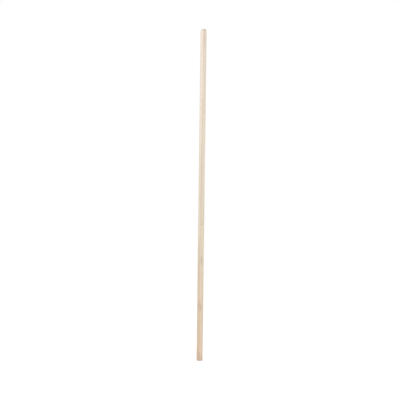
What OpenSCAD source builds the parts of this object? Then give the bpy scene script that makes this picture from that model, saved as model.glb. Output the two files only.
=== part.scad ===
// Roller extension pole: one straight, round, turned wooden pole in a single piece.
// A paint roller's handle is pushed onto one end, and the painter holds the rest.
// Millimetres, +Z up. The origin is the centre of the square-cut lower end face,
// and the pole stands along +Z up to its rounded end.

/* [Pole] */
// Overall length, from the square-cut end face to the top of the rounded end
pole_length = 1500; // [900:50:2400]
// Diameter of the round stock, the same over the whole length
pole_d = 28; // [22:1:35]

/* [Ends] */
// Radius of the quarter round that eases the upper end
rounded_end_r = 10; // [2:0.5:10.5]
// Height and depth of the 45-degree chamfer round the lower end
square_end_chamfer = 2; // [0.5:0.25:4]

/* [Hidden] */

pole_r = pole_d / 2;
// Radius of the flat crown that the quarter round leaves on the upper end
crown_r = pole_r - rounded_end_r;
// Height at which the straight cylindrical wall ends and the quarter round begins
wall_top = pole_length - rounded_end_r;

wood_colour = [0.88, 0.78, 0.64];
$fn = 128;

// Half of the pole's lengthwise section, from its axis out to the wall
module half_section() {
    chamfered_foot = [
        [0, 0],
        [pole_r - square_end_chamfer, 0],
        [pole_r, square_end_chamfer],
        [0, square_end_chamfer],
    ];
    polygon(chamfered_foot);
    translate([0, square_end_chamfer])
        square([pole_r, wall_top - square_end_chamfer]);
    translate([0, wall_top])
        square([crown_r, rounded_end_r]);
    // Only the upper, outer quarter of this circle shows: it is the rounded rim
    translate([crown_r, wall_top])
        intersection() {
            circle(r = rounded_end_r);
            square(rounded_end_r);
        }
}

module pole() {
    color(wood_colour)
        rotate_extrude()
            half_section();
}

pole();
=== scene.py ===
"""Looks of a wooden roller extension pole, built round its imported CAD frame.

Metres, +Z up. The pole stands on its square-cut end, and its front is the -Y side.
An angle on the pole runs from its front towards +X, which is on the right as seen from the front.
"""

import math

import bpy
from mathutils import Matrix, Vector, noise


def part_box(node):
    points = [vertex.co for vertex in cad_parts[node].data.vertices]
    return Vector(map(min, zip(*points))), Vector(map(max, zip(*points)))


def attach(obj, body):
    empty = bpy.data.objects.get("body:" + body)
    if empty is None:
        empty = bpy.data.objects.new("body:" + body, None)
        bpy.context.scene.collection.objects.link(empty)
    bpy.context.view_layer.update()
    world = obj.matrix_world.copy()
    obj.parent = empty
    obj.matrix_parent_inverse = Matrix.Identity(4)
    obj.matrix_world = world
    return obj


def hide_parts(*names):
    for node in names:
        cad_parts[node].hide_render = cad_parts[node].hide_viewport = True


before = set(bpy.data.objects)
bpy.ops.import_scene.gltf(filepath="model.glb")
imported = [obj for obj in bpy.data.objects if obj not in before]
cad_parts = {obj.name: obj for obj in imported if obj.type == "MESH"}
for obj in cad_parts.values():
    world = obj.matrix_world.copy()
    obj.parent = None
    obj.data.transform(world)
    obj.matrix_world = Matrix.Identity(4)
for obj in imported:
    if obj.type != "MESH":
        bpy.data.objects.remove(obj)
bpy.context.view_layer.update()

MM = 0.001

# The pole's size, from the frame
LOW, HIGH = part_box("pole")
POLE_L = HIGH.z - LOW.z
POLE_R = (HIGH.x - LOW.x) / 2

# The ends: the rounded end's radius and the square-cut end's chamfer, both as in the CAD part
ROUNDED_END_R = 10 * MM
CHAMFER = 2 * MM
# Radius to which sanding has softened the two corners of the chamfer
SANDED_R = 0.6 * MM
# Wear on the rounded end: its depth at the pole's radius, and less towards the middle
CROWN_WEAR = 0.35 * MM

# The tree's pith runs outside the pole, behind it and to its right. PITH is its place beside the
# square-cut end, PITH_DRIFT how far it has moved by the other end, and RING_GAP one year's growth.
PITH = Vector((26.7 * MM, 38.1 * MM, 0))
PITH_DRIFT = Vector((-4.4 * MM, 4.3 * MM, 0))
RING_GAP = 3.1 * MM

# The mesh: vertices round the pole, steps in each rounding, and the longest steps along the wall
# and across the end faces
SEGMENTS = 160
RIM_STEPS = 14
CORNER_STEPS = 3
WALL_STEP = 3.2 * MM
FACE_STEP = 0.55 * MM

# Unevenness of the wall from turning, then from raised grain: mean depth, and waves per metre
# across and along the pole
UNEVENNESS = [
    (0.035 * MM, 40, 6),
    (0.022 * MM, 420, 14),
]

# Small knots: height, angle in degrees, half width, half length
KNOTS = [
    (617 * MM, 14, 1.1 * MM, 2.0 * MM),
    (1002 * MM, -128, 2.4 * MM, 3.4 * MM),
    (356 * MM, 152, 1.7 * MM, 2.6 * MM),
    (1327 * MM, 97, 1.5 * MM, 2.4 * MM),
]
# The dish that each knot lies in: its depth, and its size as a multiple of the knot's
DISH_DEPTH = 0.14 * MM
DISH_REACH = 1.6

# Dents from handling: height, angle in degrees, half width, half length, depth
DENTS = [
    (23 * MM, -64, 2.2 * MM, 4.0 * MM, 0.30 * MM),
    (71 * MM, 118, 1.6 * MM, 6.5 * MM, 0.22 * MM),
    (188 * MM, 41, 1.4 * MM, 5.0 * MM, 0.16 * MM),
    (431 * MM, -97, 1.8 * MM, 7.0 * MM, 0.18 * MM),
    (742 * MM, 171, 1.5 * MM, 6.0 * MM, 0.16 * MM),
    (1121 * MM, 63, 1.6 * MM, 8.0 * MM, 0.15 * MM),
    (1472 * MM, -148, 2.0 * MM, 3.6 * MM, 0.24 * MM),
]

# Relief of the end faces: growth rings, torn fibres and saw marks. SAW_WAVE is the distance
# between two saw marks over two pi, and SAW_SLANT how far the marks turn away from the Y axis.
RING_RELIEF = 0.05 * MM
TORN_DEPTH = 0.05 * MM
TORN_WAVES = 600
SAW_DEPTH = 0.03 * MM
SAW_WAVE = 0.32 * MM
SAW_SLANT = 0.35

# Drying checks in the square-cut end: angle in degrees, inner and outer radius, depth
CHECKS = [
    (-31, 2.5 * MM, 10.5 * MM, 1.1 * MM),
    (139, 4.0 * MM, 9.0 * MM, 0.7 * MM),
]
CHECK_HALF_WIDTH = 0.42 * MM
# How far a check strays from a straight line, and how many times per metre
CHECK_STRAY = 0.35 * MM
CHECK_WAVES = 500


# ---------------------------------------------------------------- the pole's mesh


def arc(centre_r, centre_z, radius, start, end, steps):
    """(radius, height, how much the surface faces along the axis) along an arc, degrees from outward."""
    for step in range(steps + 1):
        turn = math.radians(start + (end - start) * step / steps)
        yield centre_r + radius * math.cos(turn), centre_z + radius * math.sin(turn), math.sin(turn)


def steps_between(start, end, longest):
    """Evenly spaced values from start to end, both left out."""
    count = max(2, math.ceil(abs(end - start) / longest))
    return [start + (end - start) * i / count for i in range(1, count)]


def half_section():
    """(radius, height, facing) of every ring, from the square-cut end's middle up to the crown's."""
    lean_in = SANDED_R * (math.sqrt(2) - 1)
    rim_z = POLE_L - ROUNDED_END_R
    foot = list(arc(POLE_R - CHAMFER - lean_in, SANDED_R, SANDED_R, -90, -45, CORNER_STEPS))
    heel = list(arc(POLE_R - SANDED_R, CHAMFER + lean_in, SANDED_R, -45, 0, CORNER_STEPS))
    rim = list(arc(POLE_R - ROUNDED_END_R, rim_z, ROUNDED_END_R, 0, 90, RIM_STEPS))
    face = [(r, 0.0, -1.0) for r in steps_between(0, foot[0][0], FACE_STEP)]
    wall = [(POLE_R, z, 0.0) for z in steps_between(heel[-1][1], rim_z, WALL_STEP)]
    crown = [(r, POLE_L, 1.0) for r in steps_between(rim[-1][0], 0, FACE_STEP)]
    return face + foot + heel + wall + rim + crown


def bell(distance):
    """1 at distance 0, falling smoothly to 0 at distance 1 and beyond, on both sides."""
    return (1 - distance * distance) ** 2 if abs(distance) < 1 else 0.0


def from_mark(angle, z, height, degrees, half_width, half_length):
    """How far a point of the wall is from a mark on it, in mark sizes."""
    turn = (angle - math.radians(degrees) + math.pi) % (2 * math.pi) - math.pi
    return math.hypot(POLE_R * turn / half_width, (z - height) / half_length)


def wall_depth(angle, z):
    """How far the wall lies below a true cylinder: turning, raised grain, knots and dents."""
    around = Vector((math.cos(angle), math.sin(angle), 0)) * POLE_R
    depth = 0.0
    for mean, across, along in UNEVENNESS:
        depth += mean * (1 + noise.noise(around * across + Vector((0, 0, z * along))))
    for knot in KNOTS:
        depth += DISH_DEPTH * bell(from_mark(angle, z, *knot) / DISH_REACH)
    for *mark, dent_depth in DENTS:
        depth += dent_depth * bell(from_mark(angle, z, *mark))
    return depth


def face_depth(x, y, checks=()):
    """How far an end face lies below its plane: growth rings, saw marks, torn fibres and checks."""
    ring = math.hypot(x - PITH.x, y - PITH.y) / RING_GAP
    depth = RING_RELIEF * (ring % 1.0)
    depth += SAW_DEPTH * (1 + math.sin((x + SAW_SLANT * y) / SAW_WAVE))
    depth += TORN_DEPTH * (1 + noise.noise(Vector((x, y, 0)) * TORN_WAVES))
    for degrees, inner, outer, check_depth in checks:
        turn = math.radians(degrees)
        along = x * math.sin(turn) - y * math.cos(turn)
        across = x * math.cos(turn) + y * math.sin(turn)
        stray = CHECK_STRAY * noise.noise(Vector((along * CHECK_WAVES, degrees, 0)))
        span = (along - (inner + outer) / 2) / ((outer - inner) / 2)
        depth += check_depth * bell((across - stray) / CHECK_HALF_WIDTH) * bell(span)
    return depth


def surface_point(angle, radius, z, facing):
    """A point of the finished surface, which never stands outside the CAD solid."""
    wall_share = math.sqrt(max(0.0, 1 - facing * facing))
    inward = wall_share * wall_depth(angle, z)
    x, y = radius * math.sin(angle), -radius * math.cos(angle)
    along = 0.0
    if facing:
        wear = CROWN_WEAR * (radius / POLE_R) ** 2 if facing > 0 else 0.0
        along = -facing * (face_depth(x, y, CHECKS if facing < 0 else ()) + wear)
    scale = (radius - inward) / radius
    return Vector((x * scale, y * scale, z + along))


def pole_mesh():
    """The pole as rings of vertices closed by a point at each end, and its share of end grain."""
    section = half_section()
    points, end_grain, faces = [], [], []
    for radius, z, facing in section:
        for i in range(SEGMENTS):
            points.append(surface_point(2 * math.pi * i / SEGMENTS, radius, z, facing))
            end_grain.append(facing * facing)
    for ring in range(len(section) - 1):
        for i in range(SEGMENTS):
            j = (i + 1) % SEGMENTS
            low, high = ring * SEGMENTS, (ring + 1) * SEGMENTS
            faces.append((low + i, low + j, high + j, high + i))
    last = (len(section) - 1) * SEGMENTS
    bottom, top = len(points), len(points) + 1
    points += [Vector((0, 0, face_depth(0, 0))), Vector((0, 0, POLE_L - face_depth(0, 0)))]
    end_grain += [1.0, 1.0]
    for i in range(SEGMENTS):
        j = (i + 1) % SEGMENTS
        faces += [(bottom, j, i), (top, last + i, last + j)]
    mesh = bpy.data.meshes.new("turned_pole")
    mesh.from_pydata(points, [], faces)
    mesh.attributes.new("end_grain", "FLOAT", "POINT").data.foreach_set("value", end_grain)
    mesh.shade_smooth()
    mesh.validate()
    return mesh


# ---------------------------------------------------------------- shader nodes


class Nodes:
    """Adds nodes to a tree: an input is a socket to link from, or a value."""

    def __init__(self, tree):
        self.tree = tree

    def add(self, kind, inputs, **settings):
        node = self.tree.nodes.new(kind)
        for name, value in settings.items():
            setattr(node, name, value)
        for key, value in inputs.items():
            if isinstance(value, bpy.types.NodeSocket):
                self.tree.links.new(value, node.inputs[key])
            else:
                node.inputs[key].default_value = value
        return node

    def sums(self, operation, first, second=0.0, third=0.0):
        node = self.add("ShaderNodeMath", {0: first, 1: second, 2: third}, operation=operation)
        return node.outputs[0]

    def vectors(self, operation, first, second):
        node = self.add("ShaderNodeVectorMath", {0: first, 1: second}, operation=operation)
        return node.outputs[0]

    def grain(self, place, waves, along, detail, roughness):
        """Noise drawn out along the pole: waves per metre across it, and along it for each of those."""
        drawn_out = self.vectors("MULTIPLY", place, (1, 1, along))
        inputs = {"Vector": drawn_out, "Scale": waves, "Detail": detail, "Roughness": roughness}
        return self.add("ShaderNodeTexNoise", inputs).outputs["Fac"]

    def spread(self, value, low, high, to_low=0.0, to_high=1.0):
        """Value from low..high, eased into to_low..to_high."""
        inputs = {0: value, 1: low, 2: high, 3: to_low, 4: to_high}
        return self.add("ShaderNodeMapRange", inputs, interpolation_type="SMOOTHSTEP").outputs[0]

    def ramp(self, value, stops):
        """Value through a colour ramp of (place, linear colour or grey) stops."""
        node = self.add("ShaderNodeValToRGB", {0: value})
        ends = node.color_ramp.elements
        while len(ends) < len(stops):
            ends.new(0.5)
        for end, (place, colour) in zip(ends, stops):
            end.position = place
            end.color = (*colour, 1) if hasattr(colour, "__len__") else (colour, colour, colour, 1)
        return node.outputs[0]

    def mix(self, share, first, second, blend="MIX"):
        """First colour, with a share of the second one blended in."""
        node = self.add("ShaderNodeMix", {"Factor": share}, data_type="RGBA", blend_type=blend)
        for place, value in ((6, first), (7, second)):
            if isinstance(value, bpy.types.NodeSocket):
                self.tree.links.new(value, node.inputs[place])
            else:
                node.inputs[place].default_value = (*value, 1)
        return node.outputs[2]


# ---------------------------------------------------------------- the wood

# Patterns drawn out along the grain: waves per metre across it, how many waves run along it for
# each of those, detail, roughness
WANDER = (45, 0.035, 2.0, 0.5)
RIPPLE = (300, 0.02, 2.0, 0.5)
FIBRES = (1700, 0.018, 4.0, 0.62)
BROAD_BANDS = (120, 0.016, 2.0, 0.5)
RAGGED = (600, 0.035, 4.0, 0.5)
# Pores: how many per metre across the grain, and how many run along it for each of those
PORES_PER_METRE = 950
PORES_ALONG = 0.07

# Growth rings: how many years the wander, the ripple and a knot shift them, the share of late wood
# through one year, and the strength of the faintest year
WANDER_YEARS = 0.8
RIPPLE_YEARS = 0.12
KNOT_YEARS = 0.7
LATE_WOOD = [(0.0, 0.0), (0.38, 0.06), (0.74, 0.55), (0.90, 1.0), (1.0, 0.0)]
FAINTEST_YEAR = 0.55

# Linear colours of the early wood at the square-cut end, a bit below the middle, and the top
PALE_FOOT = (0.675, 0.54, 0.405)
PALE_MIDDLE = (0.685, 0.615, 0.515)
PALE_TOP = (0.69, 0.605, 0.53)
# What the early wood's colour is multiplied by in late wood, streaks (one of them painted shade),
# cut-across ends and grime
LATE_TINT = (0.84, 0.78, 0.68)
STREAK_AND_SHADE_TINT = (0.76, 0.73, 0.66)
END_TINT = (0.75, 0.73, 0.72)
GRIME_TINT = (0.90, 0.87, 0.91)
# Colours of the knots and the pores
KNOT_HEART = (0.40, 0.27, 0.15)
KNOT_RIM = (0.21, 0.125, 0.06)
PORE_BROWN = (0.36, 0.24, 0.14)
# How strongly broad bands, pores and cut-across ends show
BROAD_STRENGTH = 0.5
PORE_STRENGTH = 0.38
END_STRENGTH = 0.9

# Darker streaks and patches, the first of them painted shade on the rounded end's right shoulder: height,
# angle in degrees, half width, half length, strength
STREAKS_AND_PAINTED_SHADE = [
    # Painted shade: darkens the rounded end's right shoulder as if it were turned away from the light
    (1494 * MM, 28, 5.0 * MM, 6 * MM, 0.90),
    (1455 * MM, 20, 7.0 * MM, 50 * MM, 0.40),
    (1163 * MM, 4, 3.0 * MM, 30 * MM, 0.60),
    (1124 * MM, 16, 2.2 * MM, 19 * MM, 0.35),
    (624 * MM, 14, 3.6 * MM, 13 * MM, 0.40),
    (455 * MM, 14, 4.5 * MM, 26 * MM, 0.70),
    (395 * MM, 10, 3.5 * MM, 45 * MM, 0.25),
    (250 * MM, -32, 5.5 * MM, 34 * MM, 0.55),
    (240 * MM, 12, 6.5 * MM, 20 * MM, 0.65),
    (140 * MM, -36, 6.0 * MM, 120 * MM, 0.25),
    (690 * MM, 48, 4.5 * MM, 150 * MM, 0.40),
    (860 * MM, 140, 5.0 * MM, 120 * MM, 0.40),
    (520 * MM, -150, 4.5 * MM, 160 * MM, 0.40),
    (1280 * MM, 170, 5.0 * MM, 110 * MM, 0.30),
]
STREAK_AND_SHADE_RAGGEDNESS = 2.2

# Grime at the square-cut end: the height that it reaches at the pole's middle, how steeply its
# edge falls from left to right, how ragged that edge is, and the height over which it fades
GRIME_HEIGHT = 32 * MM
GRIME_SLANT = 1.3
GRIME_RAGGEDNESS = 18 * MM
GRIME_FADE = 20 * MM


def on_wall(height, degrees):
    """The point of the wall at a height and an angle."""
    turn = math.radians(degrees)
    return Vector((POLE_R * math.sin(turn), -POLE_R * math.cos(turn), height))


def away_from(nodes, place, height, degrees, half_width, half_length):
    """How far a point is from a mark on the wall, in mark sizes."""
    offset = nodes.vectors("SUBTRACT", place, on_wall(height, degrees))
    shrunk = nodes.vectors("DIVIDE", offset, (half_width, half_width, half_length))
    return nodes.add("ShaderNodeVectorMath", {0: shrunk}, operation="LENGTH").outputs["Value"]


def growth_rings(nodes, place, rise, ripple, knots):
    """Share of late wood: it darkens towards each year's end, then stops sharply, and bends round knots."""
    metres = nodes.add("ShaderNodeSeparateXYZ", {0: place})
    away = []
    for axis in (0, 1):
        pith = nodes.sums("MULTIPLY_ADD", rise, PITH_DRIFT[axis], PITH[axis])
        away.append(nodes.sums("SUBTRACT", metres.outputs[axis], pith))
    squares = nodes.sums("MULTIPLY_ADD", away[0], away[0], nodes.sums("MULTIPLY", away[1], away[1]))
    years = nodes.sums("DIVIDE", nodes.sums("SQRT", squares), RING_GAP)
    years = nodes.sums("MULTIPLY_ADD", nodes.grain(place, *WANDER), WANDER_YEARS, years)
    years = nodes.sums("MULTIPLY_ADD", ripple, RIPPLE_YEARS, years)
    for far in knots:
        years = nodes.sums("ADD", years, nodes.spread(far, 0.4, 4.5, KNOT_YEARS, 0.0))
    late = nodes.ramp(nodes.sums("FRACT", years), LATE_WOOD)
    year = nodes.sums("FLOOR", years)
    character = nodes.add("ShaderNodeTexWhiteNoise", {"W": year}, noise_dimensions="1D").outputs["Value"]
    return nodes.sums("MULTIPLY", late, nodes.spread(character, 0.0, 1.0, FAINTEST_YEAR, 1.0))


def wood_pores(nodes, place):
    """Share of pore: short dark dashes along the grain."""
    drawn_out = nodes.vectors("MULTIPLY", place, (1, 1, PORES_ALONG))
    cells = nodes.add("ShaderNodeTexVoronoi", {"Vector": drawn_out, "Scale": PORES_PER_METRE})
    return nodes.spread(cells.outputs["Distance"], 0.06, 0.20, 1.0, 0.0)


def clear_wood(nodes, place, rise, late, fibres, pores):
    """Colour along the pole, then late wood, broad bands, fibres and pores."""
    pale = nodes.ramp(rise, [(0.0, PALE_FOOT), (0.45, PALE_MIDDLE), (1.0, PALE_TOP)])
    colour = nodes.mix(late, pale, LATE_TINT, "MULTIPLY")
    broad = nodes.spread(nodes.grain(place, *BROAD_BANDS), 0.40, 0.75, 0.0, BROAD_STRENGTH)
    colour = nodes.mix(broad, colour, STREAK_AND_SHADE_TINT, "MULTIPLY")
    tone = nodes.spread(fibres, 0.25, 0.75, 0.92, 1.06)
    grey = nodes.add("ShaderNodeCombineColor", {0: tone, 1: tone, 2: tone}).outputs[0]
    colour = nodes.mix(1.0, colour, grey, "MULTIPLY")
    return nodes.mix(nodes.sums("MULTIPLY", pores, PORE_STRENGTH), colour, PORE_BROWN)


def with_streaks_and_painted_shade(nodes, colour, place, ragged):
    """Adds the streaks and patches, and the painted shade on the rounded end's right shoulder, with ragged
    edges along the grain.
    """
    for *mark, strength in STREAKS_AND_PAINTED_SHADE:
        far = nodes.sums("MULTIPLY_ADD", ragged, STREAK_AND_SHADE_RAGGEDNESS, away_from(nodes, place, *mark))
        colour = nodes.mix(nodes.spread(far, 1.25, 2.35, strength, 0.0), colour, STREAK_AND_SHADE_TINT, "MULTIPLY")
    return colour


def with_knots(nodes, colour, fibres, knots):
    """Adds the knots, a brown heart inside a thin dark rim in a darker halo. Returns the hearts too."""
    hearts = 0.0
    for far in knots:
        far = nodes.sums("MULTIPLY_ADD", fibres, 0.5, far)
        colour = nodes.mix(nodes.spread(far, 1.2, 3.6, 0.6, 0.0), colour, STREAK_AND_SHADE_TINT, "MULTIPLY")
        colour = nodes.mix(nodes.spread(far, 1.35, 1.75, 0.75, 0.0), colour, KNOT_RIM)
        heart = nodes.spread(far, 1.0, 1.3, 0.85, 0.0)
        colour = nodes.mix(heart, colour, KNOT_HEART)
        hearts = nodes.sums("MAXIMUM", hearts, heart)
    return colour, hearts


def with_grime(nodes, colour, place, ragged):
    """Adds the grime at the square-cut end."""
    metres = nodes.add("ShaderNodeSeparateXYZ", {0: place})
    edge = nodes.sums("MULTIPLY_ADD", metres.outputs[0], GRIME_SLANT, metres.outputs[2])
    edge = nodes.sums("MULTIPLY_ADD", ragged, GRIME_RAGGEDNESS, edge)
    grime = nodes.spread(edge, GRIME_HEIGHT, GRIME_HEIGHT + GRIME_FADE, 1.0, 0.0)
    return nodes.mix(grime, colour, GRIME_TINT, "MULTIPLY")


def wood_roughness(nodes, fibres, late, pores, end_grain):
    """Smoother on fibres and late wood, and rougher in pores and where fibres are cut across."""
    roughness = nodes.spread(fibres, 0.2, 0.8, 0.68, 0.54)
    for share, added in ((late, -0.06), (pores, 0.12), (end_grain, 0.18)):
        roughness = nodes.sums("MULTIPLY_ADD", share, added, roughness)
    return roughness


def wood_bump(nodes, fibres, late, pores, hearts):
    """Fibres and late wood stand up a little, and pores and the hearts of knots sink in."""
    relief = fibres
    for share, raised in ((late, 0.30), (pores, -0.70), (hearts, -0.40)):
        relief = nodes.sums("MULTIPLY_ADD", share, raised, relief)
    inputs = {"Strength": 0.55, "Distance": 0.08 * MM, "Height": relief}
    return nodes.add("ShaderNodeBump", inputs).outputs[0]


def turned_wood():
    """Solid, bare, finely sanded wood: growth rings cut lengthwise, fibres, pores, streaks and knots, and
    painted shade on the rounded end's right shoulder.
    """
    material = bpy.data.materials.new("turned_wood")
    material.use_nodes = True
    tree = material.node_tree
    nodes = Nodes(tree)

    place = nodes.add("ShaderNodeTexCoord", {}).outputs["Object"]
    height = nodes.add("ShaderNodeSeparateXYZ", {0: place}).outputs[2]
    rise = nodes.sums("DIVIDE", height, POLE_L)
    ripple = nodes.grain(place, *RIPPLE)
    fibres = nodes.grain(place, *FIBRES)
    ragged = nodes.grain(place, *RAGGED)
    # How far each knot is, in knot sizes, with an uneven outline
    knots = [nodes.sums("MULTIPLY_ADD", ripple, 0.5, away_from(nodes, place, *knot)) for knot in KNOTS]
    late = growth_rings(nodes, place, rise, ripple, knots)
    pores = wood_pores(nodes, place)
    end_grain = nodes.add("ShaderNodeAttribute", {}, attribute_name="end_grain").outputs["Fac"]

    colour = clear_wood(nodes, place, rise, late, fibres, pores)
    # Streaks, and the painted shade on the rounded end's right shoulder
    colour = with_streaks_and_painted_shade(nodes, colour, place, ragged)
    colour, hearts = with_knots(nodes, colour, fibres, knots)
    colour = with_grime(nodes, colour, place, ragged)
    colour = nodes.mix(nodes.sums("MULTIPLY", end_grain, END_STRENGTH), colour, END_TINT, "MULTIPLY")
    roughness = wood_roughness(nodes, fibres, late, pores, end_grain)
    bump = wood_bump(nodes, fibres, late, pores, hearts)

    shader = tree.nodes["Principled BSDF"]
    tree.links.new(colour, shader.inputs["Base Color"])
    tree.links.new(roughness, shader.inputs["Roughness"])
    tree.links.new(bump, shader.inputs["Normal"])
    shader.inputs["Specular IOR Level"].default_value = 0.42
    shader.inputs["Diffuse Roughness"].default_value = 0.6
    return material


# ---------------------------------------------------------------- the pole


def build_pole():
    """The one detailed piece, which stands for the CAD node."""
    pole = bpy.data.objects.new("turned_wooden_pole", pole_mesh())
    bpy.context.scene.collection.objects.link(pole)
    pole.data.materials.append(turned_wood())
    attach(pole, "root")
    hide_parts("pole")


# ---------------------------------------------------------------- floor, lights and camera

# The floor: a round one, lying just under the pole so that the two don't touch
FLOOR_R = 6.0
FLOOR_Z = -0.2 * MM
FLOOR_SIDES = 96
FLOOR_GREY = 0.7
FLOOR_GLOW = 0.3

# Round soft lights: place, the point that it faces, watts, spread in degrees
SOFTBOX_SIZE = 0.7
SOFTBOXES = {
    "key_left": ((-1.0, -0.7, 1.7), (0, 0, 1.25), 6.5, 180),
    "fill_right": ((1.2, -0.7, 0.4), (0, 0, 0.4), 4.0, 180),
    "front": ((-0.2, -2.0, 0.75), (0, 0, 0.75), 3.5, 180),
    "rim_right": ((1.4, 0.1, 1.7), (0, 0, 1.3), 0.4, 60),
}

# How the camera sees the pole: its distance, the width that it takes in at the pole, the pole's
# place to the right of and above the middle of the picture, and its lean to the right
CAMERA_DISTANCE = 5.2
VIEW_WIDTH = 1.8105
POLE_RIGHT = 7.1 * MM
POLE_ABOVE = 24 * MM
POLE_LEAN = math.radians(0.72)
SENSOR = 36.0


def build_floor():
    """A pale studio floor."""
    turns = [2 * math.pi * i / FLOOR_SIDES for i in range(FLOOR_SIDES)]
    points = [(FLOOR_R * math.cos(turn), FLOOR_R * math.sin(turn), FLOOR_Z) for turn in turns]
    mesh = bpy.data.meshes.new("studio_floor")
    mesh.from_pydata(points, [], [tuple(range(FLOOR_SIDES))])
    material = bpy.data.materials.new("pale_floor")
    material.use_nodes = True
    shader = material.node_tree.nodes["Principled BSDF"]
    shader.inputs["Base Color"].default_value = (FLOOR_GREY, FLOOR_GREY, FLOOR_GREY, 1)
    shader.inputs["Roughness"].default_value = 0.9
    shader.inputs["Emission Color"].default_value = (1, 1, 1, 1)
    shader.inputs["Emission Strength"].default_value = FLOOR_GLOW
    mesh.materials.append(material)
    floor = bpy.data.objects.new("studio_floor", mesh)
    bpy.context.scene.collection.objects.link(floor)


def softbox(name, place, target, watts, spread_degrees):
    """A round soft light that faces the target."""
    data = bpy.data.lights.new(name, "AREA")
    data.shape = "DISK"
    data.size = SOFTBOX_SIZE
    data.energy = watts
    data.spread = math.radians(spread_degrees)
    lamp = bpy.data.objects.new(name, data)
    lamp.location = place
    lamp.rotation_euler = (Vector(target) - Vector(place)).to_track_quat("-Z", "Y").to_euler()
    bpy.context.scene.collection.objects.link(lamp)


def light_studio():
    """White surroundings and the soft lights."""
    world = bpy.data.worlds.new("white_studio")
    world.use_nodes = True
    world.node_tree.nodes["Background"].inputs["Color"].default_value = (1, 1, 1, 1)
    world.node_tree.nodes["Background"].inputs["Strength"].default_value = 1.0
    bpy.context.scene.world = world
    for name, settings in SOFTBOXES.items():
        softbox(name, *settings)


def aim_camera():
    """Level with the pole's middle, in front of it, and turned so that the pole leans."""
    data = bpy.data.cameras.new("camera")
    data.sensor_width = SENSOR
    data.lens = SENSOR * CAMERA_DISTANCE / VIEW_WIDTH
    camera = bpy.data.objects.new("camera", data)
    level = Matrix.Rotation(math.radians(90), 4, "X")
    turned = level @ Matrix.Rotation(POLE_LEAN, 4, "Z")
    pole_middle = Vector((0, 0, POLE_L / 2))
    offset = turned @ Vector((-POLE_RIGHT, -POLE_ABOVE, CAMERA_DISTANCE))
    camera.matrix_world = Matrix.Translation(pole_middle + offset) @ turned
    bpy.context.scene.collection.objects.link(camera)
    bpy.context.scene.camera = camera


def show_plain_colours():
    """Colours as they are lit, with no film curve on them."""
    bpy.context.scene.view_settings.view_transform = "Standard"


build_pole()
build_floor()
light_studio()
aim_camera()
show_plain_colours()
